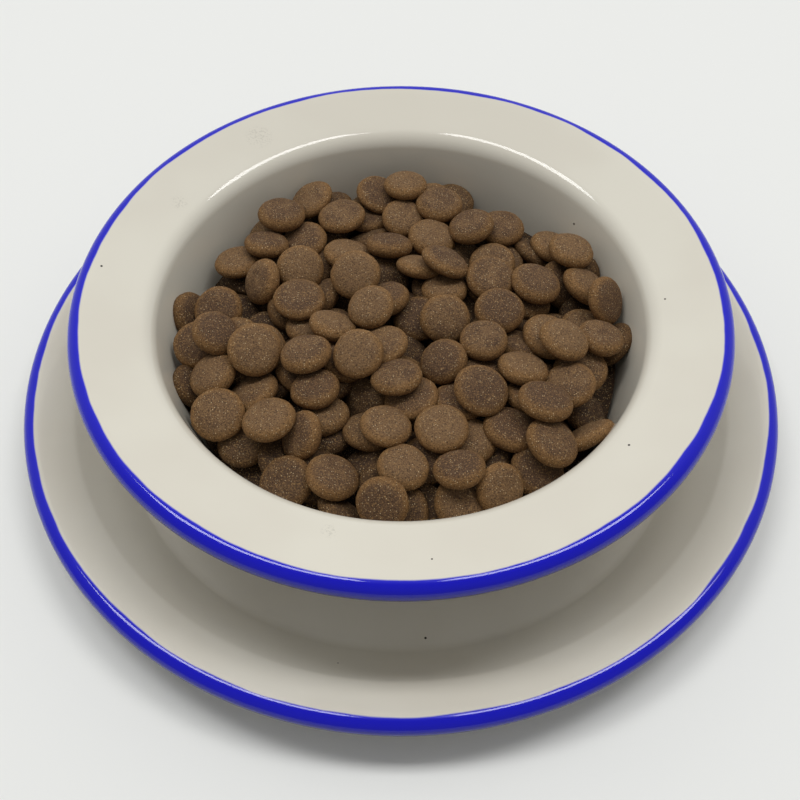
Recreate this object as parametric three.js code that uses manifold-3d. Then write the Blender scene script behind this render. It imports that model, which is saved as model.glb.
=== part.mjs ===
// Enamel pet bowl full of round kibble, standing on its matching plate.
// Millimetres, +Z up. The origin is the middle of the plate's underside, on the ground.

import * as THREE from "three";
import { mergeVertices } from "three/addons/utils/BufferGeometryUtils.js";
import Module from "manifold-3d";

// Plate, one pressed sheet
const plateRadius = 110; // to the outside of the rolled rim
const plateHeight = 17.7; // ground to the top of the rolled rim
const plateSheet = 1; // enamelled sheet
const plateRimTube = 6.4; // across the rolled rim
const plateFlange = 13.5; // flat outer ring, from the well to the rim's outside
const plateWall = 13.5; // how far the sloping wall runs inwards
const plateWellDrop = 5.1; // how far the rim's top stands above the top of that wall
const plateBend = 5; // radius of both bends

// Bowl, one pressed sheet
const bowlRadius = 90; // to the outside of the rolled rim
const bowlHeight = 47.9; // its foot to the top of its rolled rim
const bowlSheet = 1;
const bowlRimTube = 6.4;
const bowlFlange = 21.5; // flat outer ring, from the mouth to the rim's outside
const bowlWall = 10.5; // how far the steep wall runs inwards
const bowlMouthDrop = 5; // how far the rim's top stands above the mouth
const bowlMouthBend = 5.4; // radius of the soft edge there
const bowlFootBend = 20; // radius of the corner between wall and floor

// Kibble, flat round biscuits
const kibbleDiameter = 14.2;
const kibbleThickness = 5.8;
const kibbleSpread = 0.06; // how much the biscuits differ in size
const heapDrop = 13; // how far the heap's middle lies under the rim's top
const heapFall = 4; // how far the heap falls from there to the wall
const layerDepth = 10; // from the heap's top down to where the lowest biscuits lie
const lumpHeight = 5; // how uneven it is down there, which makes the biscuits lean
const lumpSize = 8.2; // from one lump to the next hollow
const bedDepth = 4.2; // from the heap's top down to the plain bed that carries them
const bedLayers = 1.306; // how often the biscuits fused with the heap would cover it, laid side by side
const looseCount = 57; // biscuits that lie loose on top
const steepest = 1.6; // steepest slope a biscuit rests at

// Clearances
const seat = 0.3; // between pieces that touch
const wallRoom = 0.4; // between the biscuits and the wall
const sink = 0.5; // how deep a bedded biscuit sinks into those below
const rootDepth = 0.85; // how far its underside reaches down, in thicknesses from its middle
const lift = 0.2; // one step up, where a loose biscuit lies closer than a seat
const mostLift = 2; // a place that needs more is left free

// Facets
const turnSides = 40; // sides round the bowl and the plate
const bedSides = 22; // sides round the bed, which the biscuits hide
const bendStep = Math.PI / 7; // one facet of a bend
const rollStep = Math.PI / 4; // one facet of a rolled rim
const rollTurn = 1.6 * Math.PI; // how far a rim is rolled
const looseSides = 10; // sides round a loose biscuit
const beddedSides = 7; // sides round a bedded one, of which less shows

const wasm = await Module();
wasm.setup();

function solidOf(geometry) {
  const bare = geometry.clone();
  bare.deleteAttribute("normal");
  bare.deleteAttribute("uv");
  const merged = mergeVertices(bare, 1e-3);
  return new wasm.Manifold(
    new wasm.Mesh({
      numProp: 3,
      vertProperties: merged.attributes.position.array,
      triVerts: new Uint32Array(merged.index.array),
    }),
  );
}

function geometryOf(solid) {
  const mesh = solid.getMesh();
  const geometry = new THREE.BufferGeometry();
  geometry.setAttribute("position", new THREE.BufferAttribute(mesh.vertProperties, 3));
  geometry.setIndex(new THREE.BufferAttribute(mesh.triVerts, 1));
  geometry.computeVertexNormals();
  return geometry;
}

// Turns an outline, given as Vector2(radius, height), round the vertical axis.
function turned(outline, sides) {
  return new THREE.LatheGeometry(outline, sides).rotateX(Math.PI / 2);
}

// Points on an arc, both ends included, each with the arc's outward direction there.
function arc(centre, radius, from, to, step) {
  const count = Math.max(1, Math.ceil(Math.abs(to - from) / step));
  return Array.from({ length: count + 1 }, (_, i) => {
    const angle = from + ((to - from) * i) / count;
    const outward = new THREE.Vector2(Math.cos(angle), Math.sin(angle));
    return { point: centre.clone().addScaledVector(outward, radius), outward };
  });
}

// One rounded corner of a sheet's middle line. The sheet's upper side is on the left of its travel.
function bend(before, corner, after, radius) {
  const into = corner.clone().sub(before).normalize();
  const out = after.clone().sub(corner).normalize();
  const turn = Math.atan2(into.cross(out), into.dot(out));
  const side = Math.sign(turn);
  const left = new THREE.Vector2(-into.y, into.x);
  const start = corner.clone().addScaledVector(into, -radius * Math.tan(Math.abs(turn) / 2));
  const centre = start.clone().addScaledVector(left, side * radius);
  const from = Math.atan2(start.y - centre.y, start.x - centre.x);
  const points = arc(centre, radius, from, from + turn, bendStep);
  return points.map(({ point, outward }) => ({ point, up: outward.multiplyScalar(-side) }));
}

// A pressed sheet: flat floor, wall, flange and a rim rolled down and under, turned into one piece.
function pressedSheet({ sheet, radius, height, tube, corners, bends }) {
  const rollRadius = (tube - sheet) / 2;
  const roll = new THREE.Vector2(radius - tube / 2, height - tube / 2);
  const last = corners[corners.length - 1];
  const toRoll = roll.clone().sub(last);
  const climb = toRoll.angle() + Math.asin(rollRadius / toRoll.length());
  const rollStart = climb + Math.PI / 2;
  const rim = arc(roll, rollRadius, rollStart, rollStart - rollTurn, rollStep);
  const start = new THREE.Vector2(0, corners[0].y);
  const stops = [start, ...corners, rim[0].point];
  const line = [
    { point: start, up: new THREE.Vector2(0, 1) },
    ...corners.flatMap((corner, i) => bend(stops[i], corner, stops[i + 2], bends[i])),
    ...rim.map(({ point, outward }) => ({ point, up: outward })),
  ];
  const side = (share) => line.map(({ point, up }) => point.clone().addScaledVector(up, share * sheet));
  const under = side(-0.5);
  const over = side(0.5);
  return turned([...under, ...over.reverse()], turnSides);
}

const plateShape = {
  sheet: plateSheet,
  radius: plateRadius,
  height: plateHeight,
  tube: plateRimTube,
  corners: [
    new THREE.Vector2(plateRadius - plateFlange - plateWall, plateSheet / 2),
    new THREE.Vector2(plateRadius - plateFlange, plateHeight - plateWellDrop),
  ],
  bends: [plateBend, plateBend],
};

const bowlMouthRadius = bowlRadius - bowlFlange;
const bowlFootRadius = bowlMouthRadius - bowlWall;
const bowlShape = {
  sheet: bowlSheet,
  radius: bowlRadius,
  height: bowlHeight,
  tube: bowlRimTube,
  corners: [
    new THREE.Vector2(bowlFootRadius, bowlSheet / 2),
    new THREE.Vector2(bowlMouthRadius, bowlHeight - bowlMouthDrop),
  ],
  bends: [bowlFootBend, bowlMouthBend],
};

// The inside of the bowl, in the bowl's own frame.
const wallLean = (bowlMouthRadius - bowlFootRadius) / (bowlHeight - bowlMouthDrop - bowlSheet / 2);
const insideRadius = (z) => bowlFootRadius + wallLean * (z - bowlSheet) - bowlSheet / 2;
const insideHeight = (r) => bowlSheet + (r + bowlSheet / 2 - bowlFootRadius) / wallLean;
const brim = bowlHeight - bowlMouthDrop;
const brimRadius = insideRadius(brim) - wallRoom;
const beddedCount = Math.round(bedLayers * (brimRadius / (kibbleDiameter / 2)) ** 2);

// Height of the heap's own dome over a place.
const heapCrown = bowlHeight - heapDrop;
const dome = (x, y) => heapCrown - (heapFall * (x * x + y * y)) / (brimRadius * brimRadius);

// Numbers between 0 and 1 that look random and are the same every time.
function numbers(seed) {
  let state = seed;
  return () => {
    state = (Math.imul(state, 1664525) + 1013904223) >>> 0;
    return state / 4294967296;
  };
}

// Half the thickness of a biscuit, as a share of the whole, at a share of its radius from its middle.
const faceShare = 0.66;
const edgeHalf = 0.4;
function halfThickness(share) {
  if (share < faceShare) return 0.5 + ((edgeHalf - 0.5) * share) / faceShare;
  return (edgeHalf * (1 - share)) / (1 - faceShare);
}

// How far a biscuit leaning by the slopes (a, b) stands out above or under its middle plane.
function standOut(biscuit, a, b, dx, dy) {
  const rise = a * dx + b * dy;
  const share = Math.sqrt(dx * dx + dy * dy + rise * rise) / biscuit.radius;
  if (share > 1) return null;
  return halfThickness(share) * biscuit.thickness * Math.sqrt(1 + a * a + b * b);
}

// Height of the pile over a place: the bed, the wall, or the highest biscuit there.
function ground(pile, x, y) {
  const r = Math.sqrt(x * x + y * y);
  const wave = Math.PI / lumpSize;
  let top = dome(x, y) - layerDepth + lumpHeight * Math.sin(x * wave) * Math.cos(y * wave);
  if (r > insideRadius(0) - wallRoom) top = Math.max(top, insideHeight(r + wallRoom));
  for (const laid of pile) {
    const dx = x - laid.x;
    const dy = y - laid.y;
    const out = standOut(laid, laid.a, laid.b, dx, dy);
    if (out !== null) top = Math.max(top, laid.z + laid.a * dx + laid.b * dy + out);
  }
  return top;
}

const feelers = [[0, 0]]; // places under a biscuit, in shares of its radius, where it feels for the pile
for (const [share, count] of [[0.36, 6], [0.72, 12], [0.98, 18]]) {
  for (let i = 0; i < count; i++) {
    const angle = (2 * Math.PI * (i + share)) / count;
    feelers.push([share * Math.cos(angle), share * Math.sin(angle)]);
  }
}

// Lays a biscuit down at (x, y) with the lean that lets it sink lowest, touching the pile but never in it.
function rest(pile, size, x, y) {
  const felt = feelers.map(([u, v]) => {
    const dx = u * size.radius;
    const dy = v * size.radius;
    return [dx, dy, ground(pile, x + dx, y + dy)];
  });
  const heightAt = (a, b) => {
    let z = -Infinity;
    for (const [dx, dy, top] of felt) {
      const out = standOut(size, a, b, dx, dy);
      if (out !== null) z = Math.max(z, top + out - a * dx - b * dy);
    }
    return z;
  };
  let best = { a: 0, b: 0, z: heightAt(0, 0) };
  for (let step = 0.4; step > 0.01; ) {
    let next = best;
    for (let i = 0; i < 8; i++) {
      const a = best.a + step * Math.cos((i * Math.PI) / 4);
      const b = best.b + step * Math.sin((i * Math.PI) / 4);
      if (a * a + b * b > steepest * steepest) continue;
      const z = heightAt(a, b);
      if (z < next.z - 1e-6) next = { a, b, z };
    }
    if (next === best) step /= 2;
    best = next;
  }
  return { ...size, x, y, ...best };
}

// Drops one biscuit: it takes the lowest of a few places, then shuffles downhill.
const places = 6;
const shuffles = 10;
const nearest = 0.62; // least room between a biscuit's middle and the wall, in shares of its radius
function drop(pile, random) {
  const size = {
    radius: (kibbleDiameter / 2) * (1 + kibbleSpread * (2 * random() - 1)),
    thickness: kibbleThickness * (1 + 2 * kibbleSpread * (2 * random() - 1)),
    spin: 2 * Math.PI * random(),
  };
  const reach = brimRadius - nearest * size.radius;
  const above = (laid) => laid.z - dome(laid.x, laid.y);
  let best = null;
  const offer = (x, y) => {
    if (x * x + y * y > reach * reach) return;
    const laid = rest(pile, size, x, y);
    if (!best || above(laid) < above(best)) best = laid;
  };
  for (let i = 0; i < places; i++) {
    const r = reach * Math.sqrt(random());
    const angle = 2 * Math.PI * random();
    offer(r * Math.cos(angle), r * Math.sin(angle));
  }
  for (let i = 0; i < shuffles; i++) {
    const stride = (size.radius * (1 - i / shuffles)) / 2;
    const angle = 2 * Math.PI * random();
    offer(best.x + stride * Math.cos(angle), best.y + stride * Math.sin(angle));
  }
  return best;
}

// A biscuit of its own size, lying flat about its middle. A bedded one is rooted in those below it.
function biscuit({ radius, thickness }, bedded) {
  const outline = [
    new THREE.Vector2(0, -0.5 * thickness),
    new THREE.Vector2(faceShare * radius, -edgeHalf * thickness),
    new THREE.Vector2(radius, 0),
    new THREE.Vector2(faceShare * radius, edgeHalf * thickness),
    new THREE.Vector2(0, 0.5 * thickness),
  ];
  if (bedded) outline.splice(0, 2, new THREE.Vector2(0, -rootDepth * thickness));
  return turned(outline, bedded ? beddedSides : looseSides);
}

function placeOf({ x, y, z, a, b, spin }) {
  const upright = new THREE.Vector3(-a, -b, 1).normalize();
  const lean = new THREE.Quaternion().setFromUnitVectors(new THREE.Vector3(0, 0, 1), upright);
  const turn = new THREE.Quaternion().setFromAxisAngle(new THREE.Vector3(0, 0, 1), spin);
  return { position: new THREE.Vector3(x, y, z), quaternion: lean.multiply(turn) };
}

function placed(laid, bedded) {
  const { position, quaternion } = placeOf(laid);
  const { x, y, z } = position;
  return solidOf(biscuit(laid, bedded).applyQuaternion(quaternion).translate(x, y, z));
}

const plateGeometry = pressedSheet(plateShape);
const bowlGeometry = pressedSheet(bowlShape);
const bowlSolid = solidOf(bowlGeometry);

// The room inside the bowl that the heap may fill, a seat's width off the sheet.
function bowlRoom() {
  const [foot, mouth] = bowlShape.corners;
  const floor = bowlSheet + seat;
  const top = bowlHeight + kibbleDiameter;
  const gap = bowlSheet / 2 + seat;
  const inner = bend(new THREE.Vector2(0, foot.y), foot, mouth, bowlFootBend);
  const outline = [
    new THREE.Vector2(0, floor),
    ...inner.map(({ point, up }) => point.clone().addScaledVector(up, gap)),
    new THREE.Vector2(insideRadius(brim) - seat, brim),
    new THREE.Vector2(insideRadius(brim) - seat, top),
    new THREE.Vector2(0, top),
  ];
  return solidOf(turned(outline, bedSides));
}

// The plain bed that carries the bedded biscuits: the bowl's room up to a lowered dome.
function bed() {
  const outline = [new THREE.Vector2(0, 0), new THREE.Vector2(bowlRadius, 0)];
  for (const r of [bowlRadius, brimRadius, brimRadius / 2, 0]) {
    outline.push(new THREE.Vector2(r, dome(r, 0) - bedDepth));
  }
  return solidOf(turned(outline, bedSides));
}

const random = numbers(11);
const pile = [];
for (let i = 0; i < beddedCount; i++) {
  const laid = drop(pile, random);
  laid.z -= sink;
  pile.push(laid);
}
const heapSolid = pile
  .reduce((heap, laid) => heap.add(placed(laid, true)), bed())
  .intersect(bowlRoom());
const heapPieces = heapSolid.decompose().sort((a, b) => b.volume() - a.volume());

const loose = [];
const near = [bowlSolid, heapPieces[0]];
for (let tries = 0; loose.length < looseCount && tries < 3 * looseCount; tries++) {
  const laid = drop(pile, random);
  const rested = laid.z;
  const clear = () => {
    const solid = placed(laid, false);
    return near.every((other) => solid.minGap(other, seat) >= seat) ? solid : null;
  };
  let solid = clear();
  while (!solid && laid.z < rested + mostLift) {
    laid.z += lift;
    solid = clear();
  }
  if (!solid) continue;
  pile.push(laid);
  near.push(solid);
  loose.push(laid);
}

const enamel = new THREE.MeshStandardMaterial({ color: 0xdedbd0, roughness: 0.25, metalness: 0 });
const brown = new THREE.MeshStandardMaterial({ color: 0x6e5440, roughness: 0.9, metalness: 0 });

function piece(name, geometry, material) {
  const mesh = new THREE.Mesh(geometry, material);
  mesh.name = name;
  return mesh;
}

const serving = new THREE.Group();
const filledBowl = new THREE.Group();
filledBowl.position.z = plateSheet + seat;
serving.add(piece("plate", plateGeometry, enamel), filledBowl);
filledBowl.add(piece("bowl", bowlGeometry, enamel.clone()));
filledBowl.add(piece("kibble_heap", geometryOf(heapPieces[0]), brown));
loose.forEach((laid, i) => {
  const mesh = piece(`kibble_${String(i + 1).padStart(2, "0")}`, biscuit(laid, false), brown.clone());
  const { position, quaternion } = placeOf(laid);
  mesh.position.copy(position);
  mesh.quaternion.copy(quaternion);
  filledBowl.add(mesh);
});

export default serving;
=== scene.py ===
"""Enamel pet bowl of round kibble on its matching plate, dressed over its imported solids."""

import math

import bpy
import numpy as np
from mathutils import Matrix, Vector


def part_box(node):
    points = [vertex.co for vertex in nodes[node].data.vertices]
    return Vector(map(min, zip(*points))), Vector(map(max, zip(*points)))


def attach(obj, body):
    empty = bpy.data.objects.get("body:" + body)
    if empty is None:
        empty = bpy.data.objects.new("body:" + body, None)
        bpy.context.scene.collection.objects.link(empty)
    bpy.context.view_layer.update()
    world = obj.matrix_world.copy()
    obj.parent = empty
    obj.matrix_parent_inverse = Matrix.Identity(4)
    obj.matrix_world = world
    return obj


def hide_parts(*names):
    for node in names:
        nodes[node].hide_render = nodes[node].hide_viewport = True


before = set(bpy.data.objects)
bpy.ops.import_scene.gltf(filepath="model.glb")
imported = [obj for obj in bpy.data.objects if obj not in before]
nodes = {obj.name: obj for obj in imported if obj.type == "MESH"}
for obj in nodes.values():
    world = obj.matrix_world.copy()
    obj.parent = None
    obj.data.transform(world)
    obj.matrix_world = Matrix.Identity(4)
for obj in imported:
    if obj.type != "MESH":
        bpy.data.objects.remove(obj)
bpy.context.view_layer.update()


# Plate. One sheet of steel, pressed to a flat floor, a sloping wall and a narrow flange, with its
# edge rolled down and under. It is dipped in off-white enamel, and the rolled rim is then lined by
# hand in deep blue.

MM = 0.001
PLATE_RADIUS = 110 * MM
PLATE_HEIGHT = 17.7 * MM
PLATE_SHEET = 1.0 * MM
PLATE_TUBE = 6.4 * MM
PLATE_FLOOR_RADIUS = 83 * MM
PLATE_WELL_RADIUS = 96.5 * MM
PLATE_WELL_HEIGHT = 12.6 * MM
PLATE_BENDS = (5 * MM, 5 * MM)

BEND_STEP = math.radians(5)
ROLL_STEP = math.radians(10)
ROLL_TURN = 1.6 * math.pi
FLAT_POINTS = 8
ROUND_SIDES = 180


def unit(v):
    return v / np.linalg.norm(v)


def arc(centre, radius, start, end, step):
    """Points on an arc, each with its outward direction."""
    count = max(1, math.ceil(abs(end - start) / step))
    angles = np.linspace(start, end, count + 1)
    outward = np.column_stack([np.cos(angles), np.sin(angles)])
    return centre + radius * outward, outward


def bend(before, corner, after, radius):
    """One rounded corner of a sheet's middle line, with the direction of the sheet's upper side."""
    into, out = unit(corner - before), unit(after - corner)
    turn = math.atan2(into[0] * out[1] - into[1] * out[0], into @ out)
    side = math.copysign(1, turn)
    start = corner - into * radius * math.tan(abs(turn) / 2)
    centre = start + side * radius * np.array([-into[1], into[0]])
    angle = math.atan2(*(start - centre)[::-1])
    points, outward = arc(centre, radius, angle, angle + turn, BEND_STEP)
    return points, -side * outward


def sheet_line(sheet, radius, height, tube, corners, bends):
    """A dish's middle line from the axis to the end of its roll, with the sheet's upper side.

    The last of the three results is how far along the sheet each point lies past the rim's top.
    """
    roll_radius = (tube - sheet) / 2
    roll = np.array([radius - tube / 2, height - tube / 2])
    to_roll = roll - corners[-1]
    climb = math.atan2(to_roll[1], to_roll[0]) + math.asin(roll_radius / np.linalg.norm(to_roll))
    start = climb + math.pi / 2
    rim, rim_up = arc(roll, roll_radius, start, start - ROLL_TURN, ROLL_STEP)
    middle = np.array([0.0, corners[0][1]])
    stops = [middle, *corners, rim[0]]
    points, ups = [middle[None]], [np.array([[0.0, 1.0]])]
    for i, bend_radius in enumerate(bends):
        bent, up = bend(stops[i], stops[i + 1], stops[i + 2], bend_radius)
        flat = np.linspace(points[-1][-1], bent[0], FLAT_POINTS)[1:-1]
        points += [flat, bent]
        ups += [np.repeat(up[:1], len(flat), axis=0), up]
    flat = np.linspace(points[-1][-1], rim[0], FLAT_POINTS)[1:-1]
    points += [flat, rim]
    ups += [np.repeat(rim_up[:1], len(flat), axis=0), rim_up]
    line, up = np.concatenate(points), np.concatenate(ups)
    strides = np.linalg.norm(np.diff(line, axis=0), axis=1)
    along = np.concatenate([[0], np.cumsum(strides)])
    top = along[len(line) - len(rim)] + roll_radius * climb
    return line, up, along - top


def turned(name, floor_height, outline, past):
    """Turns an outline round the vertical axis. Each point keeps how far it lies past the rim's top."""
    angles = np.linspace(0, 2 * math.pi, ROUND_SIDES, endpoint=False)
    around = np.column_stack([np.cos(angles), np.sin(angles)])
    rings = outline[1:-1]
    verts = [(0, 0, outline[0][1] + floor_height), (0, 0, outline[-1][1] + floor_height)]
    marks = [past[0], past[-1]]
    for (r, z), mark in zip(rings, past[1:-1]):
        verts += [(r * c, r * s, z + floor_height) for c, s in around]
        marks += [mark] * ROUND_SIDES
    ring_starts = [2 + i * ROUND_SIDES for i in range(len(rings))]
    first, last = ring_starts[0], ring_starts[-1]
    faces = []
    for k in range(ROUND_SIDES):
        beside = (k + 1) % ROUND_SIDES
        faces.append((0, first + beside, first + k))
        faces.append((1, last + k, last + beside))
        for a, b in zip(ring_starts, ring_starts[1:]):
            faces.append((a + k, a + beside, b + beside, b + k))
    mesh = bpy.data.meshes.new(name)
    mesh.from_pydata(verts, [], faces)
    mesh.polygons.foreach_set("use_smooth", [True] * len(faces))
    mesh.attributes.new("past_rim_top", "FLOAT", "POINT").data.foreach_set("value", marks)
    made = bpy.data.objects.new(name, mesh)
    bpy.context.scene.collection.objects.link(made)
    return made


def turned_sheet(name, floor_height, line, up, past, sheet):
    """A dish: its middle line thickened to both sides and turned."""
    under, over = line - up * sheet / 2, line + up * sheet / 2
    outline = np.concatenate([under, over[::-1]])
    return turned(name, floor_height, outline, np.concatenate([past, past[::-1]]))


class Wire:
    """A value on its way through a node tree, which can be written in sums."""

    def __init__(self, tree, socket):
        self.tree, self.socket = tree, socket

    def sum(self, operation, *values):
        """Adds one Math node. The operators below are all made from it."""
        return self.tree.node("ShaderNodeMath", {"operation": operation}, dict(enumerate(values)))

    def __add__(self, other):
        return self.sum("ADD", self, other)

    def __sub__(self, other):
        return self.sum("SUBTRACT", self, other)

    def __rsub__(self, other):
        return self.sum("SUBTRACT", other, self)

    def __mul__(self, other):
        return self.sum("MULTIPLY", self, other)

    def __rtruediv__(self, other):
        return self.sum("DIVIDE", other, self)

    def __pow__(self, other):
        return self.sum("POWER", self, other)

    __radd__, __rmul__ = __add__, __mul__


class Tree:
    """A node tree that is filled one node at a time."""

    def __init__(self, nodes_of):
        self.nodes, self.links = nodes_of.nodes, nodes_of.links

    def node(self, kind, settings=None, values=None, out=0):
        """Adds a node with its settings, then the values or links of its sockets."""
        made = self.nodes.new(kind)
        for key, value in (settings or {}).items():
            setattr(made, key, value)
        for key, value in (values or {}).items():
            if isinstance(value, Wire):
                self.links.new(value.socket, made.inputs[key])
            else:
                made.inputs[key].default_value = value
        return Wire(self, made.outputs[out])

    def end(self, kind, wire):
        """Adds the tree's output node, and leads the finished value into it."""
        self.links.new(wire.socket, self.nodes.new(kind).inputs[0])

    def mix(self, share, low, high):
        """A colour between two others."""
        return self.node("ShaderNodeMix", {"data_type": "RGBA"}, {"Factor": share, "A": low, "B": high}, 2)

    def between(self, value, low, high):
        """0 at low and 1 at high, with a soft step from one to the other."""
        values = {"Value": value, "From Min": low, "From Max": high}
        return self.node("ShaderNodeMapRange", {"interpolation_type": "SMOOTHSTEP"}, values)

    def noise(self, where, size, detail=2.0, roughness=0.5):
        """Cloudy noise whose lumps are about one size across."""
        values = {"Vector": where, "Scale": 1 / size, "Detail": detail, "Roughness": roughness}
        return self.node("ShaderNodeTexNoise", {}, values)

    def bump(self, height, strength, distance, under=None):
        """The direction of a surface that rises with a height, over another bump where one is given."""
        values = {"Height": height, "Strength": strength, "Distance": distance}
        if under:
            values["Normal"] = under
        return self.node("ShaderNodeBump", {}, values)


def srgb(red, green, blue):
    """A colour as the eye reads it, from 0 to 255, in the numbers that a shader takes."""
    shares = [v / 255 for v in (red, green, blue)]
    return (*(v / 12.92 if v < 0.04045 else ((v + 0.055) / 1.055) ** 2.4 for v in shares), 1)


def material(name):
    """A new material, with its tree still empty."""
    made = bpy.data.materials.new(name)
    made.use_nodes = True
    made.node_tree.nodes.clear()
    return made, Tree(made.node_tree)


PLATE_WHITE = srgb(216, 212, 201)
PLATE_SHADE = srgb(211, 206, 194)
LINE_BLUE = srgb(0, 0, 188)
LINE_THIN = srgb(24, 26, 200)
# Darker blue painted on the rolled rim's underside as shade.
LINE_SHADE_BLUE = srgb(0, 0, 96)
PIT_BLACK = srgb(30, 27, 24)
SCUFF_GREY = srgb(150, 146, 134)

# Pits and scuffs are a point on the enamel and a radius, in millimetres.
PLATE_PITS = (((6.57, -79.46, 1.0), 0.45), ((-15.88, -89.29, 8.06), 0.3))

CLOUD_SIZE = 50 * MM
SMEAR_SIZE = 30 * MM
GLAZE_ROUGHNESS, SMEAR_ROUGHNESS = 0.05, 0.06
RIPPLE_SIZE, RIPPLE_DEPTH = 22 * MM, 0.6 * MM
PEEL_SIZE, PEEL_DEPTH = 1.8 * MM, 0.05 * MM
SCRATCH_SIZE = 0.7 * MM
LINE_WANDER, LINE_WANDER_SIZE = 1.2 * MM, 20 * MM
LINE_STARTS, LINE_COVERS = -0.45 * MM, 0.0
LINE_THICKENS = (-0.3 * MM, 0.6 * MM)
# How far past the rim's top the blue is painted darker as shade, in its start and its end.
LINE_SHADE_SPAN = (2 * MM, 5.5 * MM)


def enamel(name, light, shade, pits, scuffs=()):
    """Off-white enamel with a blue lined rim, black pits and faint scuffs, and painted shade on the rim's
    underside.
    """
    made, t = material(name)
    here = t.node("ShaderNodeTexCoord", out=3)
    cloud = t.noise(here, CLOUD_SIZE, 3)
    white = t.mix(t.between(cloud, 0.35, 0.65), light, shade)
    scratch = t.between(t.noise(here, SCRATCH_SIZE, 3, 0.7), 0.5, 0.6)
    for marks, strength, dark in ((scuffs, scratch * 0.25, SCUFF_GREY), (pits, 1, PIT_BLACK)):
        for point, radius in marks:
            there = tuple(v * MM for v in point)
            gap = t.node("ShaderNodeVectorMath", {"operation": "DISTANCE"}, {0: here, 1: there}, 1)
            near = t.between(gap, radius * MM, 0.5 * radius * MM)
            white = t.mix(near * strength, white, dark)

    past = t.node("ShaderNodeAttribute", {"attribute_name": "past_rim_top"}, out=2)
    edge = past + (t.noise(here, LINE_WANDER_SIZE, 2) - 0.5) * LINE_WANDER
    lined = t.between(edge, LINE_STARTS, LINE_COVERS)
    blue = t.mix(t.between(edge, *LINE_THICKENS), LINE_THIN, LINE_BLUE)
    # Painted shade: the blue turns darker further round the rolled rim, on its outer side and underside.
    blue = t.mix(t.between(past, *LINE_SHADE_SPAN), blue, LINE_SHADE_BLUE)

    smear = t.noise(here, SMEAR_SIZE, 4, 0.6)
    rough = GLAZE_ROUGHNESS + SMEAR_ROUGHNESS * t.between(smear, 0.45, 0.75)
    ripple = t.bump(t.noise(here, RIPPLE_SIZE, 1), 0.35, RIPPLE_DEPTH)
    peel = t.bump(t.noise(here, PEEL_SIZE, 2), 0.12, PEEL_DEPTH, ripple)
    glaze = {"Roughness": rough, "Specular IOR Level": 0.5, "Normal": peel}
    white_glaze = t.node("ShaderNodeBsdfPrincipled", {}, {"Base Color": white, **glaze})
    blue_glaze = t.node("ShaderNodeBsdfPrincipled", {}, {"Base Color": blue, **glaze})
    both = t.node("ShaderNodeMixShader", {}, {0: lined, 1: white_glaze, 2: blue_glaze})
    t.end("ShaderNodeOutputMaterial", both)
    return made


plate_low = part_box("plate")[0]
plate_corners = [
    np.array([PLATE_FLOOR_RADIUS, PLATE_SHEET / 2]),
    np.array([PLATE_WELL_RADIUS, PLATE_WELL_HEIGHT]),
]
plate_line = sheet_line(PLATE_SHEET, PLATE_RADIUS, PLATE_HEIGHT, PLATE_TUBE, plate_corners, PLATE_BENDS)
plate = turned_sheet("plate_enamelled", plate_low.z, *plate_line, PLATE_SHEET)
plate.data.materials.append(enamel("plate enamel", PLATE_WHITE, PLATE_SHADE, PLATE_PITS))
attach(plate, "root")
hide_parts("plate")


# Bowl. Pressed and enamelled as the plate is, with a deep well, a soft edge at its mouth and a wide
# flange. It stands loose on the plate's floor.

BOWL_RADIUS = 90 * MM
BOWL_HEIGHT = 47.9 * MM
BOWL_SHEET = 1.0 * MM
BOWL_TUBE = 6.4 * MM
BOWL_FOOT_RADIUS = 58 * MM
BOWL_MOUTH_RADIUS = 68.5 * MM
BOWL_MOUTH_DROP = 5 * MM
BOWL_BENDS = (20 * MM, 5.4 * MM)

BOWL_WHITE = srgb(221, 217, 203)
BOWL_SHADE = srgb(216, 211, 197)
BOWL_PITS = (
    ((-83.21, 9.66, 48.54), 0.45),
    ((52.58, 39.59, 35.49), 0.45),
    ((56.4, -48.19, 46.14), 0.4),
    ((72.45, 0.22, 45.71), 0.35),
    ((7.12, -80.58, 47.82), 0.3),
)
BOWL_SCUFFS = (((-44.05, 65.34, 47.3), 5), ((-65.48, 37.38, 46.45), 3), ((-16.78, -72.47, 46.19), 2.5))

bowl_low, bowl_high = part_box("bowl")
bowl_corners = [
    np.array([BOWL_FOOT_RADIUS, BOWL_SHEET / 2]),
    np.array([BOWL_MOUTH_RADIUS, BOWL_HEIGHT - BOWL_MOUTH_DROP]),
]
bowl_line = sheet_line(BOWL_SHEET, BOWL_RADIUS, BOWL_HEIGHT, BOWL_TUBE, bowl_corners, BOWL_BENDS)
bowl = turned_sheet("bowl_enamelled", bowl_low.z, *bowl_line, BOWL_SHEET)
bowl.data.materials.append(enamel("bowl enamel", BOWL_WHITE, BOWL_SHADE, BOWL_PITS, BOWL_SCUFFS))
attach(bowl, "root")
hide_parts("bowl")


# Kibble. Round baked biscuits with domed faces and soft edges, brown and finely grained. They lie as
# they were poured: each takes the lowest of a few places and leans to sink deepest among those below.
# The top ones are loose. Until they are grown, their sizes are millimetres in the bowl's own frame.

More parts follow.
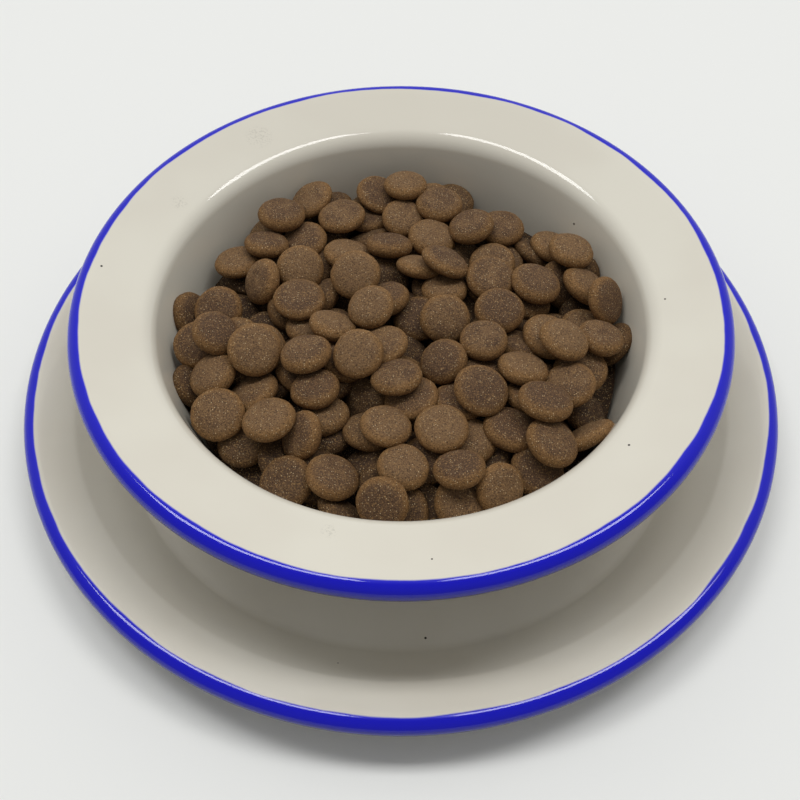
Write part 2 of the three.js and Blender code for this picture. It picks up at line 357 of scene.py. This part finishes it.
BISCUIT_ACROSS = 14.2
BISCUIT_THICK = 5.8
BISCUIT_SPREAD = 0.06  # how far a biscuit is off those sizes, as a share
FACE_SHARE = 0.66  # of its radius that a biscuit's flatter face takes
EDGE_HALF = 0.4  # of its thickness, where the face ends
STEEPEST = 1.6  # slope that a biscuit can lie at
FIRST_LEAN, LAST_LEAN = 0.4, 0.01  # change of slope in the search for its lowest lie
LOWER_BY = 1e-6  # least gain that a new slope has to bring
SINK = 0.5  # depth that a bedded biscuit is set into those below
WALL_ROOM = 0.4  # gap that a biscuit's feelers keep from the bowl's wall
NEAREST = 0.62  # of its radius that a biscuit's middle keeps from the wall
PLACES, SHUFFLES = 6, 10  # places that a biscuit tries, and moves downhill from the best
BEDDED = 118
POUR_SEED = 11
DRAW_FACTOR, DRAW_STEP, DRAW_RANGE = 1664525, 1013904223, 2**32
FEELERS = ((0.36, 6), (0.72, 12), (0.98, 18))  # rings where it feels: share of its radius, and count
CROWN_DROP = 13  # from the bowl's rim down to the pile's middle
HEAP_CROWN = BOWL_HEIGHT / MM - CROWN_DROP
HEAP_FALL = 4  # how much lower the pile is at the wall
LAYER_DEPTH = 10  # from the pile's top to the lumpy ground of the lowest biscuits
LUMP_HEIGHT, LUMP_SIZE = 5, 8.2

foot_radius, mouth_radius = BOWL_FOOT_RADIUS / MM, BOWL_MOUTH_RADIUS / MM
bowl_sheet = BOWL_SHEET / MM
brim = (BOWL_HEIGHT - BOWL_MOUTH_DROP) / MM
wall_lean = (mouth_radius - foot_radius) / (brim - bowl_sheet / 2)
wall_foot = foot_radius - wall_lean * bowl_sheet - bowl_sheet / 2
brim_radius = wall_foot + wall_lean * brim - WALL_ROOM
feelers = [(0.0, 0.0)]
for share, count in FEELERS:
    angles = (np.arange(count) + share) * 2 * math.pi / count
    feelers += [(share * math.cos(angle), share * math.sin(angle)) for angle in angles]
feelers = np.array(feelers)


def numbers(seed):
    """Numbers between 0 and 1 that look random and are the same every time."""
    while True:
        seed = (seed * DRAW_FACTOR + DRAW_STEP) % DRAW_RANGE
        yield seed / DRAW_RANGE


def dome(x, y):
    """Height of the whole pile's top."""
    return HEAP_CROWN - HEAP_FALL * (x * x + y * y) / brim_radius**2


def stand_out(radius, thickness, a, b, dx, dy):
    """How far a biscuit that leans by the slopes a and b stands out over its middle plane."""
    rise = a * dx + b * dy
    share = np.sqrt(dx * dx + dy * dy + rise * rise) / radius
    face = 0.5 + (EDGE_HALF - 0.5) * share / FACE_SHARE
    edge = EDGE_HALF * (1 - share) / (1 - FACE_SHARE)
    half = np.where(share < FACE_SHARE, face, edge) * thickness * np.sqrt(1 + a * a + b * b)
    return np.where(share > 1, -np.inf, half)


def ground(pile, x, y):
    """Height of the lumpy bed, of the wall or of the highest biscuit over each place."""
    wave = math.pi / LUMP_SIZE
    top = dome(x, y) - LAYER_DEPTH + LUMP_HEIGHT * np.sin(x * wave) * np.cos(y * wave)
    past_foot = np.hypot(x, y) + WALL_ROOM - wall_foot
    top = np.where(past_foot > 0, np.maximum(top, past_foot / wall_lean), top)
    if pile:
        px, py, pz, a, b, radius, thickness = np.array(pile).T
        dx, dy = x[:, None] - px, y[:, None] - py
        over = pz + a * dx + b * dy + stand_out(radius, thickness, a, b, dx, dy)
        top = np.maximum(top, over.max(axis=1))
    return top


def rest(pile, radius, thickness, x, y):
    """A biscuit at (x, y) with the slopes that let it sink lowest before a feeler meets the pile."""
    dx, dy = (feelers * radius).T
    top = ground(pile, x + dx, y + dy)

    def height(a, b):
        a, b = np.atleast_1d(a)[:, None], np.atleast_1d(b)[:, None]
        out = stand_out(radius, thickness, a, b, dx, dy)
        return (top + out - a * dx - b * dy).max(axis=1)

    eighths = np.arange(8) * math.pi / 4
    best = (0.0, 0.0, height(0.0, 0.0)[0])
    step = FIRST_LEAN
    while step > LAST_LEAN:
        a, b = best[0] + step * np.cos(eighths), best[1] + step * np.sin(eighths)
        chosen = best
        for tried in zip(a, b, height(a, b)):
            if math.hypot(tried[0], tried[1]) <= STEEPEST and tried[2] < chosen[2] - LOWER_BY:
                chosen = tried
        step = step / 2 if chosen is best else step
        best = chosen
    return (x, y, best[2], best[0], best[1], radius, thickness)


def drop(pile, draws):
    """One biscuit more: it takes the lowest of a few places, then shuffles downhill."""
    radius = BISCUIT_ACROSS / 2 * (1 + BISCUIT_SPREAD * (2 * next(draws) - 1))
    thickness = BISCUIT_THICK * (1 + 2 * BISCUIT_SPREAD * (2 * next(draws) - 1))
    next(draws)  # its spin, which a round biscuit doesn't show
    reach = brim_radius - NEAREST * radius
    laid, low = None, math.inf
    for i in range(PLACES + SHUFFLES):
        if i < PLACES:
            x, y, away = 0, 0, reach * math.sqrt(next(draws))
        else:
            x, y, away = laid[0], laid[1], radius * (1 - (i - PLACES) / SHUFFLES) / 2
        angle = 2 * math.pi * next(draws)
        x, y = x + away * math.cos(angle), y + away * math.sin(angle)
        if math.hypot(x, y) > reach:
            continue
        tried = rest(pile, radius, thickness, x, y)
        if tried[2] - dome(x, y) < low:
            laid, low = tried, tried[2] - dome(x, y)
    return laid


draws = numbers(POUR_SEED)
pile = []
while len(pile) < BEDDED:
    x, y, z, *lie = drop(pile, draws)
    pile.append((x, y, z - SINK, *lie))

CORNER_DIGITS = 7


def lying(node):
    """Where one loose biscuit lies: its middle, the way its face looks, its radius and its thickness.

    Its mesh is loose triangles, so a corner that several of them share is counted once.
    """
    corners = np.unique(np.round([v.co for v in node.data.vertices], CORNER_DIGITS), axis=0)
    middle = corners.mean(axis=0)
    facing = np.linalg.svd(corners - middle)[2][2]
    facing *= math.copysign(1, facing[2])
    out = (corners - middle) @ facing
    away = np.linalg.norm(corners - middle - np.outer(out, facing), axis=1)
    return middle, facing, away.max(), np.ptp(out)


loose_names = sorted(n for n in nodes if n.startswith("kibble_") and n != "kibble_heap")
loose = [lying(nodes[n]) for n in loose_names]
bedded = []
for x, y, z, a, b, radius, thickness in pile:
    facing = np.array([-a, -b, 1]) / math.sqrt(1 + a * a + b * b)
    middle = np.array([x, y, z]) * MM + (0, 0, bowl_low.z)
    bedded.append((middle, facing, radius * MM, thickness * MM))

CRUST = srgb(119, 91, 62)
CRUST_DARK = srgb(90, 66, 46)
CRUST_GOLD = srgb(142, 103, 56)
# Colour of the crust's pores, and also of the painted shade on biscuits deep in the pile and on the bed.
CRUST_PORE_AND_SHADE = srgb(42, 27, 16)
CRUST_CRUMB = srgb(168, 132, 82)
SPECK_PALE = srgb(214, 190, 148)
BLOTCH_SIZE = 4 * MM
GRIT_SIZE, GRIT_DEPTH = 0.4 * MM, 0.25 * MM
SPECK_SIZE = 0.5 * MM
DENT_SIZE, DENT_DEPTH = 2.2 * MM, 0.5 * MM
CRUST_ROUGHNESS = 0.7


def baked_crust():
    """Matt brown crust, greyer on the faces and golden at the edges, with fine grain and pale specks."""
    made, t = material("kibble crust")
    here = t.node("ShaderNodeTexCoord", out=3)
    own_height = t.node("ShaderNodeAttribute", {"attribute_name": "own_height"}, out=2)
    tone = t.node("ShaderNodeAttribute", {"attribute_name": "tone"}, out=2)
    painted_shade = t.node("ShaderNodeAttribute", {"attribute_name": "painted_shade"}, out=2)

    face = t.between(own_height * own_height, 0.15, 0.75)
    blotch = t.noise(here, BLOTCH_SIZE, 3, 0.6)
    crust = t.mix(t.between(blotch + 0.6 * (tone - 0.5), 0.25, 0.75), CRUST_DARK, CRUST)
    crust = t.mix((1 - face) * 0.55, crust, CRUST_GOLD)
    # Painted shade: biscuits deep in the pile, and the bed under them, are painted nearly black-brown.
    crust = t.mix(painted_shade * 0.95, crust, CRUST_PORE_AND_SHADE)

    grit = t.noise(here, GRIT_SIZE, 3, 0.7)
    crust = t.mix(t.between(grit, 0.5, 0.36) * 0.7, crust, CRUST_PORE_AND_SHADE)
    crust = t.mix(t.between(grit, 0.54, 0.68) * 0.7, crust, CRUST_CRUMB)
    grains = {"Vector": here, "Scale": 1 / SPECK_SIZE}
    away = t.node("ShaderNodeTexVoronoi", {}, grains)
    chance = t.node("ShaderNodeSeparateXYZ", {}, {0: t.node("ShaderNodeTexVoronoi", {}, grains, 1)}, 0)
    speck = t.between(away, 0.32, 0.12) * t.between(chance, 0.6, 0.9)
    crust = t.mix(speck * 0.9, crust, SPECK_PALE)

    dents = t.bump(t.noise(here, DENT_SIZE, 3, 0.6), 0.7, DENT_DEPTH)
    grain = t.bump(grit, 1.0, GRIT_DEPTH, dents)
    matt = {"Roughness": CRUST_ROUGHNESS, "Specular IOR Level": 0.25, "Normal": grain}
    baked = t.node("ShaderNodeBsdfPrincipled", {}, {"Base Color": crust, **matt})
    t.end("ShaderNodeOutputMaterial", baked)
    return made


BISCUIT_SIDES = 28
BISCUIT_RINGS = 12
SQUARENESS = 0.36  # 0 is a ball, and more pushes the surface out towards the edge
POLE_ROOM = 0.0001  # keeps the middle of a face from being divided by nothing
SPIN_SEED, TONE_SEED = 3, 11
SKIN_LUMP_SIZE, SKIN_LUMP_HEIGHT = 7 * MM, 0.75 * MM
SKIN_GRAIN_HEIGHT = 0.22 * MM
GRAINS_A_LUMP = 4


def biscuits_tree(name, surface):
    """Grows a biscuit at each point, turned and sized as the point says, with its own lumps and tone."""
    group = bpy.data.node_groups.new(name, "GeometryNodeTree")
    group.interface.new_socket("Places", in_out="INPUT", socket_type="NodeSocketGeometry")
    for label, kind, value in (
        ("Sides", "NodeSocketInt", BISCUIT_SIDES),
        ("Rings", "NodeSocketInt", BISCUIT_RINGS),
        ("Lump size", "NodeSocketFloat", SKIN_LUMP_SIZE),
        ("Lump height", "NodeSocketFloat", SKIN_LUMP_HEIGHT),
        ("Grain height", "NodeSocketFloat", SKIN_GRAIN_HEIGHT),
    ):
        group.interface.new_socket(label, in_out="INPUT", socket_type=kind).default_value = value
    group.interface.new_socket("Biscuits", in_out="OUTPUT", socket_type="NodeSocketGeometry")
    t = Tree(group)
    given = {s.name: Wire(t, s) for s in t.nodes.new("NodeGroupInput").outputs if s.name}

    sides_and_rings = {"Segments": given["Sides"], "Rings": given["Rings"], "Radius": 1.0}
    ball = t.node("GeometryNodeMeshUVSphere", {}, sides_and_rings)
    place = t.node("GeometryNodeInputPosition")
    x, y, z = (t.node("ShaderNodeSeparateXYZ", {}, {0: place}, i) for i in range(3))
    marked = t.node(
        "GeometryNodeStoreNamedAttribute",
        {"data_type": "FLOAT", "domain": "POINT"},
        {"Geometry": ball, "Name": "own_height", "Value": z},
    )
    spread = ((x * x + y * y) ** 0.5 + POLE_ROOM) ** -SQUARENESS
    squared = t.node("ShaderNodeCombineXYZ", {}, {0: x * spread, 1: y * spread, 2: z})
    biscuit = t.node("GeometryNodeSetPosition", {}, {"Geometry": marked, "Position": squared})

    facing = t.node("GeometryNodeInputNamedAttribute", {"data_type": "FLOAT_VECTOR"}, {"Name": "facing"})
    size = t.node("GeometryNodeInputNamedAttribute", {"data_type": "FLOAT_VECTOR"}, {"Name": "size"})
    leaning = t.node("FunctionNodeAlignRotationToVector", {"axis": "Z"}, {"Vector": facing})
    spin_range = {"Max": 2 * math.pi, "Seed": SPIN_SEED}
    spin = t.node("FunctionNodeRandomValue", {"data_type": "FLOAT"}, spin_range, 1)
    about = t.node("FunctionNodeAxisAngleToRotation", {}, {"Axis": (0, 0, 1), "Angle": spin})
    spun = t.node("FunctionNodeRotateRotation", {"rotation_space": "LOCAL"}, {0: leaning, 1: about})
    laid = t.node(
        "GeometryNodeInstanceOnPoints",
        {},
        {"Points": given["Places"], "Instance": biscuit, "Rotation": spun, "Scale": size},
    )
    tone = t.node("FunctionNodeRandomValue", {"data_type": "FLOAT"}, {"Seed": TONE_SEED}, 1)
    toned = t.node(
        "GeometryNodeStoreNamedAttribute",
        {"data_type": "FLOAT", "domain": "INSTANCE"},
        {"Geometry": laid, "Name": "tone", "Value": tone},
    )
    real = t.node("GeometryNodeRealizeInstances", {}, {"Geometry": toned})

    shift = t.node("GeometryNodeInputNamedAttribute", {"data_type": "FLOAT"}, {"Name": "tone"})
    place = t.node("GeometryNodeInputPosition")
    where = t.node("ShaderNodeVectorMath", {"operation": "ADD"}, {0: place, 1: shift})
    lump_noise = {"Vector": where, "Scale": 1 / given["Lump size"], "Detail": 1.0}
    grain_noise = {"Vector": where, "Scale": GRAINS_A_LUMP / given["Lump size"], "Detail": 2.0}
    lumps = (t.node("ShaderNodeTexNoise", {}, lump_noise) - 0.5) * given["Lump height"]
    grain = (t.node("ShaderNodeTexNoise", {}, grain_noise) - 0.5) * given["Grain height"]
    normal = t.node("GeometryNodeInputNormal")
    offset = t.node("ShaderNodeVectorMath", {"operation": "SCALE"}, {0: normal, "Scale": lumps + grain})
    lumpy = t.node("GeometryNodeSetPosition", {}, {"Geometry": real, "Offset": offset})
    smooth = t.node("GeometryNodeSetShadeSmooth", {}, {"Geometry": lumpy})
    dressed = t.node("GeometryNodeSetMaterial", {}, {"Geometry": smooth, "Material": surface})
    t.end("NodeGroupOutput", dressed)
    return group


# Biscuits deep in the pile get painted shade: their crust is painted darker, as the gaps below them lie in
# shadow.
PAINTED_SHADE_FROM, PAINTED_SHADE_OVER = 1, 7  # how deep biscuits begin to darken, and over what depth they do


def grown(name, places, surface):
    """Plain mesh of biscuits at the places given. Those deep in the pile get painted shade: their crust is
    painted darker.
    """
    mesh = bpy.data.meshes.new(name)
    mesh.from_pydata([tuple(middle) for middle, *_ in places], [], [])
    facing = mesh.attributes.new("facing", "FLOAT_VECTOR", "POINT")
    facing.data.foreach_set("vector", np.ravel([looks for _, looks, _, _ in places]))
    size = mesh.attributes.new("size", "FLOAT_VECTOR", "POINT")
    size.data.foreach_set("vector", np.ravel([(radius, radius, thick / 2) for *_, radius, thick in places]))
    under_top = np.array([dome(x / MM, y / MM) - (z - bowl_low.z) / MM for (x, y, z), *_ in places])
    painted_shade = np.clip((under_top - PAINTED_SHADE_FROM) / PAINTED_SHADE_OVER, 0, 1)
    mesh.attributes.new("painted_shade", "FLOAT", "POINT").data.foreach_set("value", painted_shade)
    points = bpy.data.objects.new(name + "_places", mesh)
    bpy.context.scene.collection.objects.link(points)
    points.modifiers.new("biscuits", "NODES").node_group = biscuits_tree(name, surface)
    result = bpy.data.meshes.new_from_object(points.evaluated_get(bpy.context.evaluated_depsgraph_get()))
    bpy.data.objects.remove(points)
    made = bpy.data.objects.new(name, result)
    bpy.context.scene.collection.objects.link(made)
    return made


crust = baked_crust()
loose_kibble = grown("kibble_loose", loose, crust)
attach(loose_kibble, "root")
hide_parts(*loose_names)
bedded_kibble = grown("kibble_bedded", bedded, crust)

BED_DEPTH = 9  # under the pile's top, in millimetres as the pile's other sizes are
BED_ROOM = 0.3 * MM
BED_RINGS = 12


def bed_top(radius):
    """Height of the bed, painted dark as shade, that shows between the biscuits, in metres as its radius
    is.
    """
    return (dome(radius / MM, 0) - BED_DEPTH) * MM


sheet_middle, sheet_up, _ = bowl_line
below_mouth = sheet_middle[:, 1] < BOWL_HEIGHT - 2 * BOWL_MOUTH_DROP
bed_wall = sheet_middle[below_mouth] + sheet_up[below_mouth] * (BOWL_SHEET / 2 + BED_ROOM)
bed_wall = bed_wall[bed_wall[:, 1] < bed_top(bed_wall[:, 0])]
radii = np.linspace(bed_wall[-1][0], 0, BED_RINGS)
bed_outline = np.concatenate([bed_wall, np.column_stack([radii, bed_top(radii)])])
bed = turned("kibble_bed", bowl_low.z, bed_outline, np.zeros(len(bed_outline)))
# The whole bed is painted dark brown: painted shade, where the gaps between the biscuits fall into shadow.
all_painted_shade = [1] * len(bed.data.vertices)
bed.data.attributes.new("painted_shade", "FLOAT", "POINT").data.foreach_set("value", all_painted_shade)
bed.data.materials.append(crust)

for piece in (bedded_kibble, bed):
    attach(piece, "root")
    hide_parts("kibble_heap")


# Floor and light. A plain white table in a soft bright room, lighter towards the back, with two long
# flat lamps on its ceiling.

FLOOR_WHITE = srgb(236, 237, 234)
FLOOR_REACH = 6.0
ROOM_FRONT, ROOM_BACK = 0.32, 0.66
LAMP_LENGTH, LAMP_WIDTH = 1.1, 0.45
LAMP_ASIDE, LAMP_BACK, LAMP_HEIGHT = 0.7, 0.36, 2.0
LAMP_POWER = 14  # watts

corners = [(x * FLOOR_REACH, y * FLOOR_REACH, 0) for x, y in ((-1, -1), (1, -1), (1, 1), (-1, 1))]
floor_mesh = bpy.data.meshes.new("floor")
floor_mesh.from_pydata(corners, [], [(0, 1, 2, 3)])
floor = bpy.data.objects.new("floor", floor_mesh)
bpy.context.scene.collection.objects.link(floor)
table_white, t = material("white table")
table = t.node("ShaderNodeBsdfPrincipled", {}, {"Base Color": FLOOR_WHITE, "Roughness": 0.6})
t.end("ShaderNodeOutputMaterial", table)
floor_mesh.materials.append(table_white)

room = bpy.data.worlds.new("room")
bpy.context.scene.world = room
room.use_nodes = True
t = Tree(room.node_tree)
t.nodes.clear()
backward = t.node("ShaderNodeSeparateXYZ", {}, {0: t.node("ShaderNodeTexCoord")}, 1)
glow = ROOM_FRONT + (ROOM_BACK - ROOM_FRONT) * t.between(backward, -0.25, 0.6)
walls = t.node("ShaderNodeBackground", {}, {"Color": (1, 1, 1, 1), "Strength": glow})
t.end("ShaderNodeOutputWorld", walls)

for name, side in (("ceiling_left", -1), ("ceiling_right", 1)):
    lamp_data = bpy.data.lights.new(name, "AREA")
    lamp_data.shape = "RECTANGLE"
    lamp_data.size, lamp_data.size_y = LAMP_LENGTH, LAMP_WIDTH
    lamp_data.energy = LAMP_POWER
    lamp = bpy.data.objects.new(name, lamp_data)
    lamp.location = (side * LAMP_ASIDE, LAMP_BACK, LAMP_HEIGHT)
    lamp.rotation_euler.x = -math.atan2(LAMP_BACK, LAMP_HEIGHT)
    bpy.context.scene.collection.objects.link(lamp)


# Camera. It looks down from in front, as the photograph does: its place is given from the middle of
# the bowl's rim, and its lens by a focal length in the photograph's own pixels.

EYE_BACK, EYE_ABOVE = 193.4264 * MM, 218.2909 * MM
LOOK = (-0.00089, 0.58897, -0.80815)
FOCAL_PIXELS, PHOTO_PIXELS = 1058.5, 800
SENSOR_WIDTH = 36

rim_middle = Vector((0, 0, bowl_high.z - BOWL_TUBE / 2))
camera_data = bpy.data.cameras.new("camera")
camera_data.sensor_width = SENSOR_WIDTH
camera_data.lens = SENSOR_WIDTH * FOCAL_PIXELS / PHOTO_PIXELS
camera = bpy.data.objects.new("camera", camera_data)
camera.location = rim_middle + Vector((0, -EYE_BACK, EYE_ABOVE))
camera.rotation_euler = Vector(LOOK).to_track_quat("-Z", "Y").to_euler()
bpy.context.scene.collection.objects.link(camera)
bpy.context.scene.camera = camera
bpy.context.scene.view_settings.view_transform = "Standard"
